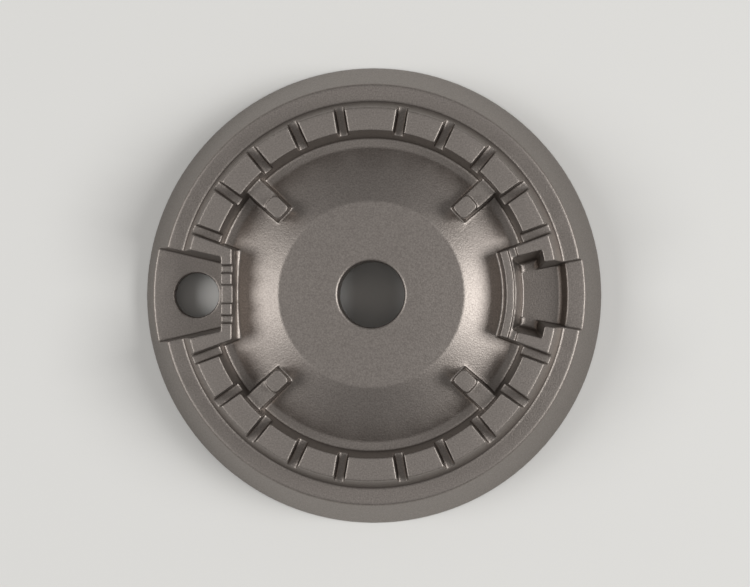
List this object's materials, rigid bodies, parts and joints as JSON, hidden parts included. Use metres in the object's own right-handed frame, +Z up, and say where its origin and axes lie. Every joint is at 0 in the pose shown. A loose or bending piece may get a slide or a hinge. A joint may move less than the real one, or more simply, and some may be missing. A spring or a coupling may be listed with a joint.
{
  "type": "gas burner base",
  "caption": "Round cast gas burner base: a ring of flame-port teeth above a flared skirt, with a central throat, an igniter pocket and a flame chamber.",
  "frame": {"origin": "centre of the bounding box at the bottom edge of the skirt, on the axis of the central throat", "axes": "+Z up, out of the tops of the port teeth; -X towards the igniter pocket; +X towards the flame chamber"},
  "size_m": [0.0732, 0.0732, 0.0155],
  "materials": {
    "cast_aluminium": "shot-blasted casting with a turned skirt"
  },
  "bodies": {
    "root": {"burner_base": "cast_aluminium"}
  },
  "joints": []
}
